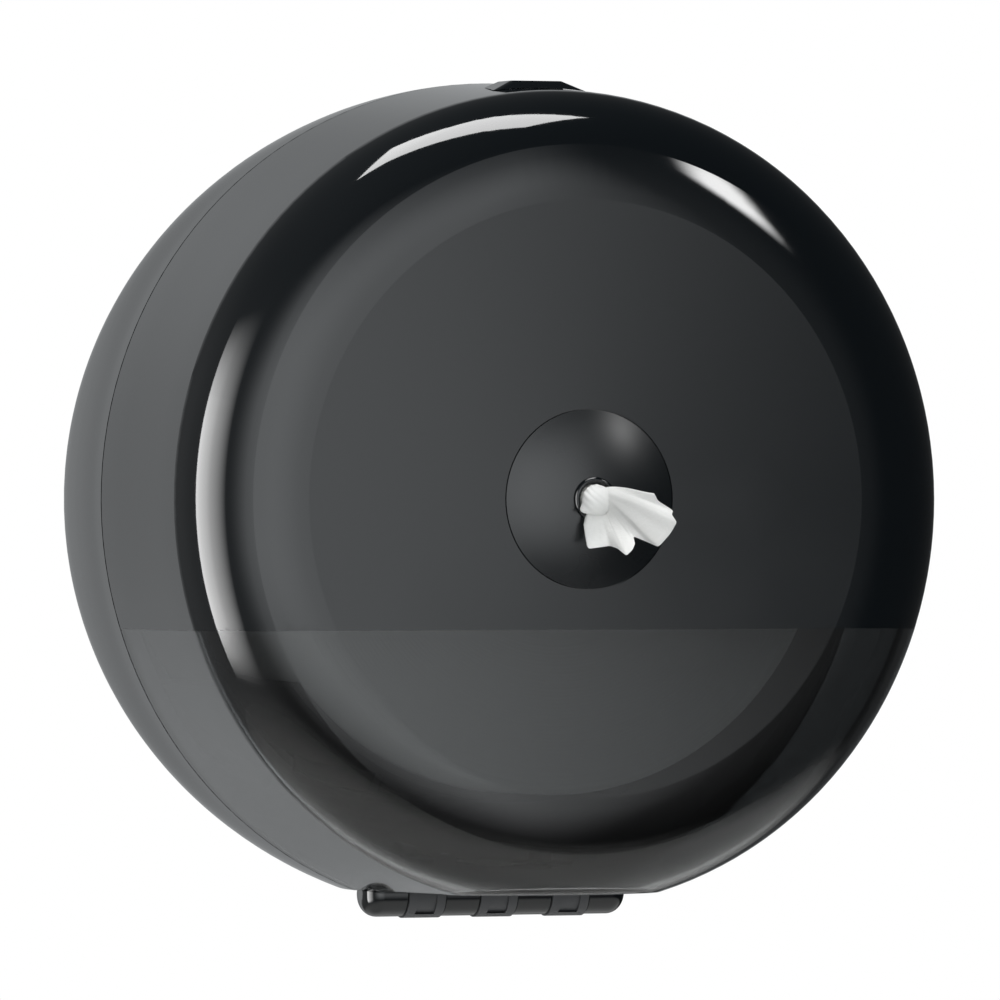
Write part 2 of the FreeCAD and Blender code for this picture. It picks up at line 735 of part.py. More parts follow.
def dome_y(radius, inset):
    """Where the dome, moved inwards by inset, lies at a distance from the axis."""
    return dome_centre[1] - math.sqrt((DOME_CURVE - inset) ** 2 - radius**2)


def nozzle_dome():
    seat_y = face_y + DOME_SEAT
    neck_y = face_y + NECK_DEPTH
    neck_inner = neck_radius - NECK_WALL
    inner_curve = DOME_CURVE - DOME_WALL
    front = arc(
        dome_centre,
        DOME_CURVE,
        math.asin(dome_hole / DOME_CURVE),
        math.asin(DOME_RADIUS / DOME_CURVE),
    )
    back = arc(
        dome_centre,
        inner_curve,
        math.asin(neck_inner / inner_curve),
        math.asin(dome_hole / inner_curve),
    )
    side = lines(
        [
            (DOME_RADIUS, dome_y(DOME_RADIUS, 0)),
            (DOME_RADIUS, seat_y),
            (neck_radius, seat_y),
            (neck_radius, neck_y),
            (neck_inner, neck_y),
            (neck_inner, dome_y(neck_inner, DOME_WALL)),
        ]
    )
    hole = [line((dome_hole, dome_y(dome_hole, DOME_WALL)), (dome_hole, dome_y(dome_hole, 0)))]
    return turned([front] + side + [back] + hole)


bush_tip = dome_y(0, 0) - BUSH_LIP_RISE
bush_collar_front = dome_y(bush_collar_radius, DOME_WALL) + BUSH_CLEARANCE
bush_back = bush_collar_front + BUSH_COLLAR


def nozzle_bush():
    """A ring with a rounded lip in front of the dome and a collar behind it."""
    seat_y = dome_y(0, 0) - BUSH_CLEARANCE
    middle = (NOZZLE_HOLE_RADIUS + bush_lip_radius) / 2
    round_radius = (bush_lip_radius - NOZZLE_HOLE_RADIUS) / 2
    lip_centre = (middle, bush_tip + round_radius)
    lip = arc(lip_centre, round_radius, -math.pi / 2, math.pi / 2)
    rest = lines(
        [
            (bush_lip_radius, lip_centre[1]),
            (bush_lip_radius, seat_y),
            (bush_radius, seat_y),
            (bush_radius, bush_collar_front),
            (bush_collar_radius, bush_collar_front),
            (bush_collar_radius, bush_back),
            (NOZZLE_HOLE_RADIUS, bush_back),
            (NOZZLE_HOLE_RADIUS, lip_centre[1]),
        ]
    )
    return turned([lip] + rest)


def nozzle_funnel():
    rim = neck_radius - NECK_WALL - NECK_CLEARANCE
    small_y = bush_back
    large_y = face_y + FUNNEL_DEPTH
    return turned_points(
        [
            (NOZZLE_HOLE_RADIUS, small_y),
            (bush_collar_radius, small_y),
            (rim, large_y - FUNNEL_RIM - FUNNEL_WALL),
            (rim, large_y),
            (rim - FUNNEL_WALL, large_y),
            (rim - FUNNEL_WALL, large_y - FUNNEL_RIM),
        ]
    )


def nozzle_retainer():
    """A ring nut with finger notches round its edge."""
    start = inside_y + SEAT_RING_HEIGHT
    nut = tube_y(neck_radius + NECK_CLEARANCE, nut_radius, (start, start + NUT_HEIGHT))
    notches = []
    for number in range(NUT_NOTCH_COUNT):
        notch = rod_y(NUT_NOTCH_RADIUS, (start - OVERRUN, start + NUT_HEIGHT + OVERRUN), nut_radius, 0)
        notches.append(turn_about_y(notch, FULL_TURN_DEG * number / NUT_NOTCH_COUNT))
    return nut.cut(notches)


# Lock


def rounded_plate(width, length, corner, z):
    """A closed rectangle with round corners at height z, in the middle of the lock."""
    plate = Part.makePlane(width, length, FreeCAD.Vector(-width / 2, lock_y - length / 2, z))
    solid = plate.extrude(Z_AXIS * corner)
    uprights = [edge for edge in solid.Edges if edge.BoundBox.ZLength > corner / 2]
    solid = solid.makeFillet(corner, uprights)
    low = [face for face in solid.Faces if face.BoundBox.ZMax < z + corner / 2]
    return low[0].OuterWire


def lock_bezel():
    """A low plate with slanted ends, seated on the cover, with a skirt through its hole."""
    foot_radius = cover_side(0, lock_y - bezel_length / 2)
    foot_z = math.sqrt(foot_radius**2 - (bezel_width / 2) ** 2)
    foot = rounded_plate(bezel_width, bezel_length, BEZEL_CORNER, foot_z)
    top = rounded_plate(bezel_top_width, bezel_top_length, BEZEL_CORNER, lock_top)
    roof = Part.makeLoft([foot, top], True, True)
    roof = roof.cut(cover_form(-BEZEL_CLEARANCE / 2, cover_rim_y))
    skirt_top = lock_top - LOCK_RISE / 2
    skirt = box(centred(bezel_top_width), centred(bezel_top_length, lock_y), (skirt_z, skirt_top))
    well_x = centred(BUTTON_WIDTH + 2 * BUTTON_CLEARANCE)
    well_y = centred(BUTTON_LENGTH + 2 * BUTTON_CLEARANCE, lock_y)
    well = box(well_x, well_y, (skirt_z - OVERRUN, lock_top + OVERRUN))
    return fused(roof, skirt).cut(well)


def lock_button():
    """A cap with a dished top, a flange that stops under the bezel, and a stem."""
    top = lock_top - BUTTON_SINK
    cap = box(centred(BUTTON_WIDTH), centred(BUTTON_LENGTH, lock_y), (flange_top, top))
    flange = box(
        centred(BUTTON_WIDTH + 2 * BUTTON_FLANGE_RIM),
        centred(BUTTON_LENGTH + 2 * BUTTON_FLANGE_RIM, lock_y),
        (stem_top, flange_top),
    )
    stem_y = (lock_y - STEM_FRONT, lock_y + STEM_BACK)
    stem = box(centred(STEM_WIDTH), stem_y, (hook_top, stem_top))
    dish_z = top - BUTTON_DISH + BUTTON_DISH_RADIUS
    dish_y = centred(BUTTON_LENGTH + 2 * OVERRUN, lock_y)
    dish = rod_y(BUTTON_DISH_RADIUS, dish_y, 0, dish_z)
    button = fused(cap, flange, stem).cut(dish)
    end = hook_top + LATCH_SCREW_LENGTH
    return button.cut(rod_z(SCREW_RADIUS, (hook_top - OVERRUN, end), 0, lock_y + LATCH_SCREW_BACK))


def latch_hook():
    """A tongue under the button whose nose rises behind the strike."""
    plate_y = (lock_y - STEM_FRONT, nose_y + NOSE_LENGTH)
    plate = box(centred(HOOK_WIDTH), plate_y, (hook_bottom, hook_top))
    nose_points = [
        (nose_y, hook_top),
        (nose_y, hook_top + BUTTON_TRAVEL),
        (nose_y + NOSE_TIP, hook_top + BUTTON_TRAVEL),
        (nose_y + NOSE_LENGTH, hook_top),
        (nose_y, hook_top),
    ]
    x = -HOOK_WIDTH / 2
    outline = Part.makePolygon([FreeCAD.Vector(x, y, z) for y, z in nose_points])
    nose = Part.Face(outline).extrude(X_AXIS * HOOK_WIDTH)
    hook = fused(plate, nose)
    screw_y = lock_y + LATCH_SCREW_BACK
    hole = rod_z(screw_hole_radius, (hook_bottom - OVERRUN, hook_top + OVERRUN), 0, screw_y)
    sink_z = (hook_bottom - OVERRUN, hook_bottom + SCREW_HEAD_HEIGHT)
    return hook.cut([hole, rod_z(screw_sink_radius, sink_z, 0, screw_y)])


def latch_screw():
    seat_z = hook_bottom + SCREW_HEAD_HEIGHT
    place = FreeCAD.Vector(0, lock_y + LATCH_SCREW_BACK, seat_z)
    return [screw(hook_top - seat_z + LATCH_SCREW_LENGTH, place, Z_AXIS)]


def biarc(start, start_way, end, end_way):
    """Two arcs that leave start and reach end along the given unit directions."""
    chord = end - start
    ways = start_way + end_way
    turn = 2 * (1 - start_way.dot(end_way))
    along = chord.dot(ways)
    step = (math.sqrt(along**2 + turn * chord.dot(chord)) - along) / turn
    joint = (start + start_way * step + end - end_way * step) / 2
    return [
        arc_along(start, start_way, joint),
        arc_along(end, end_way * -1, joint),
    ]


def arc_along(start, way, end):
    """The arc from start, leaving along a unit direction, to end."""
    chord = end - start
    length = chord.Length
    unit = chord / length
    across = way - unit * way.dot(unit)
    angle = math.atan2(across.Length, way.dot(unit))
    rise = across / across.Length * (length / 2 * math.tan(angle / 2))
    return Part.Arc(start, start + chord / 2 + rise, end).toShape()


def spring_point(turns):
    """A place on the spring's wire and its direction, counted in turns from the bottom."""
    angle = 2 * math.pi * turns
    climb = (SPRING_LENGTH - 2 * SPRING_WIRE_RADIUS) / SPRING_TURN_COUNT
    place = FreeCAD.Vector(
        SPRING_RADIUS * math.cos(angle),
        lock_y - SPRING_FORWARD + SPRING_RADIUS * math.sin(angle),
        cage_floor_top + SPRING_WIRE_RADIUS + climb * turns,
    )
    way = FreeCAD.Vector(
        -SPRING_RADIUS * math.sin(angle), SPRING_RADIUS * math.cos(angle), climb / 2 / math.pi
    )
    return place, way.normalize()


def latch_spring():
    """A coil of round wire on arcs of under a quarter turn."""
    quarters = SPRING_TURN_COUNT * 4
    edges = []
    for number in range(quarters):
        start, start_way = spring_point(number / 4)
        end, end_way = spring_point((number + 1) / 4)
        edges += biarc(start, start_way, end, end_way)
    start, start_way = spring_point(0)
    section = Part.Wire(Part.makeCircle(SPRING_WIRE_RADIUS, start, start_way))
    coil = Part.Wire(Part.__sortEdges__(edges)).makePipeShell([section], True, False)
    print("spring: least gap between turns", round(spring_gap(), 3), "mm")
    return coil


def spring_gap():
    """Least distance between the wire's surfaces on points half a turn or more apart."""
    per_turn = 24
    count = SPRING_TURN_COUNT * per_turn
    places = [spring_point(number / per_turn)[0] for number in range(count + 1)]
    gaps = []
    for first in range(count + 1):
        for second in range(first + per_turn // 2, count + 1):
            gaps.append((places[first] - places[second]).Length)
    return min(gaps) - 2 * SPRING_WIRE_RADIUS


cage_screw_length = CAGE_EAR_THICKNESS + (cover_top - WALL - cage_top) / 2


def lock_cage():
    """A box open at the back and top that guides the latch, with two ears for screws."""
    front = lock_y - STEM_FRONT - CAGE_CLEARANCE
    back = lock_y + CAGE_BACK
    body = box((-cage_outer, cage_outer), (front - CAGE_WALL, back), (cage_bottom, cage_top))
    hollow = box(
        (-cage_inner, cage_inner), (front, back + OVERRUN), (cage_floor_top, cage_top + OVERRUN)
    )
    peg_top = hook_bottom - BUTTON_TRAVEL - STRIKE_CLEARANCE
    peg_z = (cage_floor_top - CAGE_FLOOR / 2, peg_top)
    pieces = [rod_z(SPRING_PEG_RADIUS, peg_z, 0, lock_y - SPRING_FORWARD)]
    holes = []
    for side in (-1, 1):
        ear_x = sorted((side * (cage_outer - CAGE_WALL / 2), side * (cage_outer + CAGE_EAR_WIDTH)))
        ear_z = (cage_top - CAGE_EAR_THICKNESS, cage_top)
        pieces.append(box(ear_x, centred(CAGE_EAR_LENGTH, lock_y), ear_z))
        holes.append(
            rod_z(screw_hole_radius, (cage_bottom, cage_top), side * cage_screw_x, lock_y)
        )
    return fused(body.cut(hollow), *pieces).cut(holes)


def lock_screws():
    seat_z = cage_top - CAGE_EAR_THICKNESS
    places = [FreeCAD.Vector(x, lock_y, seat_z) for x in (-cage_screw_x, cage_screw_x)]
    return [screw(cage_screw_length, place, Z_AXIS) for place in places]


def strike_plate():
    """The catch: a plate under the housing's roof with a rib that hangs behind the rim."""
    plate_x = centred(STRIKE_SCREW_SPREAD + 2 * STRIKE_BORDER)
    plate = box(plate_x, (strike_y, strike_back), (strike_bottom, strike_top))
    rib_z = (hook_top + STRIKE_CLEARANCE, strike_bottom)
    rib = box(centred(STRIKE_RIB_WIDTH), (strike_y, strike_y + STRIKE_RIB), rib_z)
    strike = fused(plate, rib)
    holes = []
    for place in strike_screw_places():
        holes.append(rod_z(screw_hole_radius, (strike_bottom, strike_top), place.x, place.y))
    return strike.cut(holes)


def strike_screws():
    return [screw(strike_screw_length, place, Z_AXIS) for place in strike_screw_places()]


# Tissue
knob_tip = bush_tip - TAIL_KNOB


def tail_edge():
    """The free edge of the fan, fold by fold."""
    return [
        FreeCAD.Vector(across * TAIL_SPREAD, face_y - out * TAIL_REACH, -down * TAIL_DROP)
        for across, out, down in TAIL_EDGE_SHARES
    ]


def tail_root():
    """Where each fold leaves the knob, inside its skin so that the two join."""
    radius = tail_radius - TAIL_THICKNESS
    root_y = knob_tip + TAIL_KNOB_ROUND
    places = []
    for share in TAIL_ROOT_SHARES:
        angle = 2 * math.pi * share
        places.append(
            FreeCAD.Vector(radius * math.cos(angle), root_y, -radius * math.sin(angle))
        )
    return places


def triangle(*corners):
    return Part.Face(Part.makePolygon(list(corners) + [corners[0]]))


def strip(first, second):
    """Triangles between two rows of points."""
    faces = []
    for number in range(len(first) - 1):
        faces.append(triangle(first[number], first[number + 1], second[number]))
        faces.append(triangle(first[number + 1], second[number + 1], second[number]))
    return faces


def folded_sheet(root, edge, thickness):
    """A sheet between two rows of points, given a thickness along one direction."""
    back_root = [place + thickness for place in root]
    back_edge = [place + thickness for place in edge]
    faces = strip(root, edge) + strip(back_root, back_edge)
    faces += strip(root, back_root) + strip(edge, back_edge)
    for end in (0, -1):
        faces += strip([root[end], edge[end]], [back_root[end], back_edge[end]])
    return Part.Solid(Part.makeShell(faces))


def paper_tail():
    """A strand through the bush, gathered to a knob, that opens into a fan of folds."""
    knob = rod_y(tail_radius, (knob_tip, face_y + TAIL_INSIDE), 0, 0)
    rims = [edge for edge in knob.Edges if edge.BoundBox.YMax < bush_tip]
    knob = knob.makeFillet(TAIL_KNOB_ROUND, rims)
    facing = math.radians(TAIL_FACING_DEG)
    away = FreeCAD.Vector(math.sin(facing), math.cos(facing), 0)
    fan = folded_sheet(tail_root(), tail_edge(), away * TAIL_THICKNESS)
    return fused(knob, fan)


# Build and write


def grouped(solids):
    return Part.makeCompound(solids)


nodes = {
    "rear_housing": rear_housing(),
    "back_plate": back_plate(),
    "roll_cradle": roll_cradle(),
    "cradle_screws": grouped(cradle_screws()),
    "strike_plate": strike_plate(),
    "strike_screws": grouped(strike_screws()),
    "base_hinge_leaf": base_hinge_leaf(),
    "base_leaf_screws": grouped(leaf_screws(1)),
    "hinge_pin": hinge_pin(),
    "paper_roll": paper_roll(),
    "front_cover": front_cover(),
    "level_window": level_window(),
    "cover_hinge_leaf": cover_hinge_leaf(),
    "cover_leaf_screws": grouped(leaf_screws(-1)),
    "nozzle_dome": nozzle_dome(),
    "nozzle_bush": nozzle_bush(),
    "nozzle_funnel": nozzle_funnel(),
    "nozzle_retainer": nozzle_retainer(),
    "lock_bezel": lock_bezel(),
    "lock_cage": lock_cage(),
    "lock_screws": grouped(lock_screws()),
    "paper_tail": paper_tail(),
    "lock_button": lock_button(),
    "latch_hook": latch_hook(),
    "latch_screw": grouped(latch_screw()),
    "latch_spring": latch_spring(),
}
for name, shape in nodes.items():
    shape.exportStep("parts/" + name + ".step")
    print(name, len(shape.Solids), "solids", round(shape.Volume), "mm3", shape.isValid())
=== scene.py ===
import json
import math

import bpy
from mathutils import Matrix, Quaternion, Vector


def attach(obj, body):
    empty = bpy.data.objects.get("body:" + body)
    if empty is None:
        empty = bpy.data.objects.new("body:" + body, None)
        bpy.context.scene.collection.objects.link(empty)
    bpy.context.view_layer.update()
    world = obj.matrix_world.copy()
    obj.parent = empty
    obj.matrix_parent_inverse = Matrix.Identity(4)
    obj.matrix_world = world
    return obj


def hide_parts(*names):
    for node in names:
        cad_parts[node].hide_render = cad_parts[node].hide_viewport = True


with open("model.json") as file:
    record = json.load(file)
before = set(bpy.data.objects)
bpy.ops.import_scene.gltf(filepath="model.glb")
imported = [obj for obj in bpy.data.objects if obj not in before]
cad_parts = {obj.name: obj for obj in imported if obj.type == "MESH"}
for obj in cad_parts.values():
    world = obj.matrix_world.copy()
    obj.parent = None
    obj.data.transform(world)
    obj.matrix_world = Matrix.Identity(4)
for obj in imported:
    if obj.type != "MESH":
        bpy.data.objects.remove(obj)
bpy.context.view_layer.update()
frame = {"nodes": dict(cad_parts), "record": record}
nodes = frame["nodes"]

# Lengths below are in mm, as in the part's source. The front looks along -Y and +Z is up.
MM = 0.001

# Places that the part's source gives
FACE_Y = -151.3  # middle of the cover's front
BUSH_TIP_Y = -156.1
TAIL_INNER_Y = -140.3
ROLL_RADIUS = 77.0
ROLL_CORE_RADIUS = 24.0
ROLL_FRONT_Y = -128.8
ROLL_BACK_Y = -9.3

# Camera
CAMERA_YAW_DEG = 22.46
CAMERA_DISTANCE = 3009.0
CAMERA_LENS = 419.05
CAMERA_SENSOR = 36.0
NOZZLE_RIGHT_OF_CENTRE = 23.1
NOZZLE_ABOVE_CENTRE = 0.2

# Studio
LIGHT_DISTANCE = 4.0  # m
LIGHT_AIM = Vector((0, -0.11, 0))  # m
FLOOR_RADIUS = 1.15  # m
FLOOR_CENTRE = (0.2, -0.05, -0.65)  # m
FLOOR_CORNERS = 96

# Softboxes: direction in degrees, size in metres at 1 m from the object
LEFT_LIGHT = {"azimuth": -77, "elevation": 0, "width": 0.85, "height": 1.62, "brightness": 8.5}
LEFT_FADE = {"first": 1.75, "last": 0.0, "low_end": 0.25, "high_end": 0.64}
TOP_LIGHT = {"azimuth": 40, "elevation": 85.8, "width": 0.73, "height": 0.3, "brightness": 12.5}
TOP_LIGHT_TURN = 104
RIGHT_LIGHT = {"azimuth": 39.8, "elevation": 24.4, "width": 0.15, "height": 0.3, "brightness": 20.0}
RIGHT_LIGHT_FADE = (0.5, 0.15)  # from its rim to its bright middle, in parts of its size
KEY_LIGHT = {"azimuth": -20, "elevation": 48, "width": 0.5, "height": 0.5, "brightness": 3.3}

# What the gloss mirrors: brightness, and soft edges as (dark at, full at) in degrees or in
# parts of the unit direction
FRONT_LEVEL = 1.72
FRONT_LEFT_EXTRA = 0.75
FRONT_EXTRA_EDGE = (25, -5)
FRONT_LEFT_EDGE = (-52, -4)
FRONT_RIGHT_EDGE = (28, 18.2)
FRONT_HALO_EDGE = (46, 20)
FRONT_HALO = 0.12
FRONT_LOW_EDGE = (-33, -3)
FRONT_TOP_EDGE = (42, 11)
SIDE_LEVEL = 0.18
SIDE_EDGE = (0.75, -0.85)
LOW_SIDE_LEVEL = 0.15
LOW_SIDE_EDGE = (-0.4, -0.85)
LOW_SIDE_TOP_EDGE = (50, 15)
BACK_EDGE = (0.8, 0.92)
BACK_SIDE_EDGE = (0.25, -0.4)
BACK_RIGHT_LEVEL = 0.4
BACK_MIDDLE_EDGE = (0.98, 0.9)
BACK_MIDDLE_LEVEL = 0.5
ROOM_LEVEL = 0.05
ROOM_TINT = (0.97, 1.0, 1.02, 1.0)
WHITE = (1.0, 1.0, 1.0, 1.0)

# Wound roll
RING_STEP = 1.0  # turns are drawn this far apart; real ones are too fine to show
RING_RELIEF = 0.12
RING_VARIATION = 0.4  # share by which the rings differ in height
RING_VARIATION_STEP = 1.7
WAVE_SCALE = 2 * math.pi / 20  # the wave texture repeats every 2 pi / 20 at scale 1
ROLL_EDGE = 1.5
ROLL_STEPS = 160
ROLL_SMOOTH_DEG = 50

# Tissue tail
TAIL_RADIUS = 3.9
TAIL_PLEATS = 15
TAIL_PLEAT_DEPTH = 0.15
PLEAT_DRIFT = 1.2  # makes the pleats uneven
PLEAT_DRIFT_WAVES = 3
TAIL_FACING_DEG = 22.4  # the side that the fan shows its folds to
PUFF_RADIUS = 4.2  # the tissue swells out of the bush as a round puff
PUFF_LEAN = -2.8  # the puff leans to the left
PUFF_TURN = 0.5  # share of its half circle after which the fan's top leaves the puff
PUFF_TURN_GAIN = 1.6  # and how fast that share grows for the strands below it
PUFF_OUT = 0.5  # how far before the bush the fan leaves the puff
LAYER_LIFT = 0.9  # and the front layer before the one behind it
LUMP_DEG = 207.0  # a small lump on the puff's side
LUMP_WIDTH_DEG = 15.0
LUMP_SWELL = 2.6
FAN_START_DEG = 50.0  # the front layer leaves the bush between these two, on the upper left
FAN_END_DEG = 230.0
FAN_SPREAD = 4.0  # how strongly the fan leaves the puff sideways
FAN_PULL = 0.9  # how straight the tissue runs out to its free edge
LAYER_GAP = (-0.2, 0.2, -1.3)  # from the front layer to the one behind it
EDGE_SMOOTHINGS = 3
COLUMNS_PER_FOLD = 8
STRAND_ROWS = 12
PUFF_ROWS = 18
FAN_ROWS = 48
# Free edge of the fan's front layer, from its top round to the left, as seen from the side
# that it faces: to the right of the nozzle, up, and towards the eye
FAN_EDGE = (
    (16.6, 1.4, 17.5),
    (17.5, -0.5, 19.0),
    (21.3, -2.9, 23.5),
    (20.9, -3.9, 24.5),
    (22.2, -5.9, 27.5),
    (20.6, -8.7, 27.0),
    (17.5, -12.3, 26.0),
    (14.7, -11.0, 21.0),
    (11.1, -9.5, 16.5),
    (11.6, -11.4, 19.0),
    (10.9, -13.0, 21.0),
    (9.3, -14.5, 22.0),
    (7.0, -12.6, 16.0),
    (5.2, -12.0, 12.0),
    (2.5, -12.4, 10.5),
    (-0.4, -12.8, 10.0),
    (-0.9, -10.1, 8.5),
    (-1.4, -6.5, 7.0),
)


# Modelling


def start_fresh():
    """Leave edit mode and deselect everything."""
    if bpy.context.object and bpy.context.object.mode != "OBJECT":
        bpy.ops.object.mode_set(mode="OBJECT")
    bpy.ops.object.select_all(action="DESELECT")


def edit_all():
    bpy.ops.object.mode_set(mode="EDIT")
    bpy.ops.mesh.select_all(action="SELECT")


def spun(name, outline, steps):
    """A body of revolution about the Y axis from a closed outline of (radius, y)."""
    start_fresh()
    places = [Vector((radius * MM, y * MM, 0)) for radius, y in outline]
    bpy.ops.mesh.primitive_plane_add(size=MM, location=places[0])
    piece = bpy.context.object
    piece.name = name
    bpy.ops.object.transform_apply(location=True, rotation=False, scale=False)
    edit_all()
    bpy.ops.mesh.merge(type="CENTER")
    for start, end in zip(places, places[1:] + places[:1]):
        bpy.ops.mesh.extrude_region_move(TRANSFORM_OT_translate={"value": end - start})
    bpy.ops.mesh.select_all(action="SELECT")
    bpy.ops.mesh.remove_doubles(threshold=MM / 100)
    bpy.ops.mesh.spin(steps=steps, angle=2 * math.pi, center=(0, 0, 0), axis=(0, 1, 0))
    bpy.ops.mesh.select_all(action="SELECT")
    bpy.ops.mesh.remove_doubles(threshold=MM / 100)
    bpy.ops.mesh.normals_make_consistent(inside=False)
    bpy.ops.object.mode_set(mode="OBJECT")
    return piece


def smooth(piece, degrees):
    start_fresh()
    piece.select_set(True)
    bpy.context.view_layer.objects.active = piece
    bpy.ops.object.shade_smooth_by_angle(angle=math.radians(degrees))


# Wound roll


def roll_outline():
    """A tube whose ends show the turns as low rings of uneven height."""
    count = round((ROLL_RADIUS - ROLL_EDGE - ROLL_CORE_RADIUS) / RING_STEP)
    front = []
    for number in range(2 * count + 1):
        radius = ROLL_CORE_RADIUS + (ROLL_RADIUS - ROLL_EDGE - ROLL_CORE_RADIUS) * number / (2 * count)
        uneven = 1 - RING_VARIATION + RING_VARIATION * math.sin(RING_VARIATION_STEP * number)
        front.append((radius, RING_RELIEF * uneven * (number % 2)))
    outline = [(radius, ROLL_FRONT_Y + depth) for radius, depth in front]
    outline.append((ROLL_RADIUS, ROLL_FRONT_Y + ROLL_EDGE))
    outline.append((ROLL_RADIUS, ROLL_BACK_Y - ROLL_EDGE))
    outline += [(radius, ROLL_BACK_Y - depth) for radius, depth in reversed(front)]
    return outline


def wound_roll():
    roll = spun("wound_roll", roll_outline(), ROLL_STEPS)
    smooth(roll, ROLL_SMOOTH_DEG)
    return roll


# Tissue tail


def mixed(first, second, share):
    return tuple(a + (b - a) * share for a, b in zip(first, second))


def seen(right, up, near):
    """A place given as the eye sees the fan."""
    turn = math.radians(TAIL_FACING_DEG)
    x = right * math.cos(turn) - near * math.sin(turn)
    y = FACE_Y - right * math.sin(turn) - near * math.cos(turn)
    return Vector((x, y, up)) * MM


def fan_edge():
    """Points round the fan's free edge: the front layer, then the layer behind it."""
    behind = [tuple(a + b for a, b in zip(place, LAYER_GAP)) for place in reversed(FAN_EDGE)]
    corners = list(FAN_EDGE) + behind
    points = []
    for start, end in zip(corners, corners[1:] + corners[:1]):
        for number in range(COLUMNS_PER_FOLD):
            points.append(mixed(start, end, number / COLUMNS_PER_FOLD))
    for _ in range(EDGE_SMOOTHINGS):
        points = [
            mixed(points[number], mixed(points[number - 1], points[(number + 1) % len(points)], 0.5), 0.5)
            for number in range(len(points))
        ]
    return [seen(*point) for point in points]


def strand_angles(share_round):
    """Where a strand leaves the bush and the puff: the front layer's strands cross the mouth."""
    if share_round < 0.5:
        start = FAN_START_DEG + (FAN_END_DEG - FAN_START_DEG) * 2 * share_round
        leave = 2 * FAN_START_DEG - start
    else:
        start = FAN_END_DEG + (360 + FAN_START_DEG - FAN_END_DEG) * (2 * share_round - 1)
        leave = start
    return math.radians(start), math.radians(leave)


def strand_start(angle, y):
    """A place on the gathered strand: a ring folded into shallow pleats."""
    drift = PLEAT_DRIFT * math.sin(PLEAT_DRIFT_WAVES * angle)
    fold = 0.5 + 0.5 * math.cos(angle * TAIL_PLEATS + drift)
    radius = TAIL_RADIUS - TAIL_PLEAT_DEPTH * fold
    return Vector((radius * math.cos(angle), y, radius * math.sin(angle))) * MM


def puff_place(angle, start, leave, share):
    """A place on the half circle that a strand makes as it swells out of the bush."""
    turn = math.pi * share
    lean = PUFF_LEAN * math.sin(turn) * (leave - start).length / (2 * PUFF_RADIUS)
    out = math.sin(turn) * (leave - start).length / 2
    away = (math.degrees(angle) - LUMP_DEG) / LUMP_WIDTH_DEG
    lump = math.sin(turn) * (1 - share) * LUMP_SWELL * MM * math.exp(-away * away)
    bulge = Vector((lean + lump * math.cos(angle), -out, lump * math.sin(angle)))
    return start.lerp(leave, (1 - math.cos(turn)) / 2) + bulge


def swept(start, start_way, end, end_way, share):
    """A place on the curve between two places with set directions."""
    square = share * share
    cube = square * share
    place = start * (2 * cube - 3 * square + 1) + start_way * (cube - 2 * square + share)
    return place + end * (3 * square - 2 * cube) + end_way * (cube - square)


def strand(share_round, end):
    """Places along one strand, from inside the nozzle over the puff to the free edge."""
    angle, leave_angle = strand_angles(share_round)
    sideways = Vector((math.cos(leave_angle), 0, math.sin(leave_angle)))
    out = PUFF_OUT + LAYER_LIFT if share_round < 0.5 else PUFF_OUT
    rim = sideways * PUFF_RADIUS * MM + Vector((0, BUSH_TIP_Y - out, 0)) * MM
    start = strand_start(angle, BUSH_TIP_Y)
    turned = min(1, PUFF_TURN + PUFF_TURN_GAIN * share_round)
    leave = puff_place(angle, start, rim, turned)
    places = []
    for number in range(STRAND_ROWS):
        y = TAIL_INNER_Y + (BUSH_TIP_Y - TAIL_INNER_Y) * number / STRAND_ROWS
        places.append(strand_start(angle, y))
    for number in range(PUFF_ROWS):
        places.append(puff_place(angle, start, rim, turned * number / PUFF_ROWS))
    end_way = (end - leave) * FAN_PULL
    leave_way = end_way + sideways * FAN_SPREAD * MM
    for number in range(FAN_ROWS + 1):
        places.append(swept(leave, leave_way, end, end_way, number / FAN_ROWS))
    return places


def tail_rows():
    """Rows of points from inside the nozzle to the free edge."""
    free = fan_edge()
    strands = [strand(number / len(free), end) for number, end in enumerate(free)]
    return list(zip(*strands))


def tissue_tail():
    """A tissue end gathered in the nozzle that opens into a doubled fan of folds."""
    rows = tail_rows()
    count = len(rows[0])
    places = [place for row in rows for place in row]
    faces = []
    for row in range(len(rows) - 1):
        for k in range(count):
            beside = (k + 1) % count
            faces.append(
                (row * count + k, row * count + beside, (row + 1) * count + beside, (row + 1) * count + k)
            )
    mesh = bpy.data.meshes.new("tissue_tail")
    mesh.from_pydata(places, [], faces)
    tail = bpy.data.objects.new("tissue_tail", mesh)
    bpy.context.scene.collection.objects.link(tail)
    start_fresh()
    tail.select_set(True)
    bpy.context.view_layer.objects.active = tail
    edit_all()
    bpy.ops.mesh.normals_make_consistent(inside=False)
    bpy.ops.object.mode_set(mode="OBJECT")
    bpy.ops.object.shade_smooth()
    return tail


# Materials


def linear(hex_code):
    """An sRGB hex colour as linear red, green, blue and alpha."""
    channels = []
    for start in (1, 3, 5):
        value = int(hex_code[start:start + 2], 16) / 255
        channels.append(value / 12.92 if value <= 0.04045 else ((value + 0.055) / 1.055) ** 2.4)
    return (*channels, 1.0)


def add(tree, kind, inputs=None, **settings):
    """Add a node with its properties; each input is a value or another node's output."""
    node = tree.nodes.new(kind)
    for name, value in settings.items():
        setattr(node, name, value)
    for name, value in (inputs or {}).items():
        if isinstance(value, bpy.types.NodeSocket):
            tree.links.new(value, node.inputs[name])
        else:
            node.inputs[name].default_value = value
    return node


def new_material(name):
    material = bpy.data.materials.new(name)
    material.use_nodes = True
    material.node_tree.nodes.clear()
    return material, material.node_tree


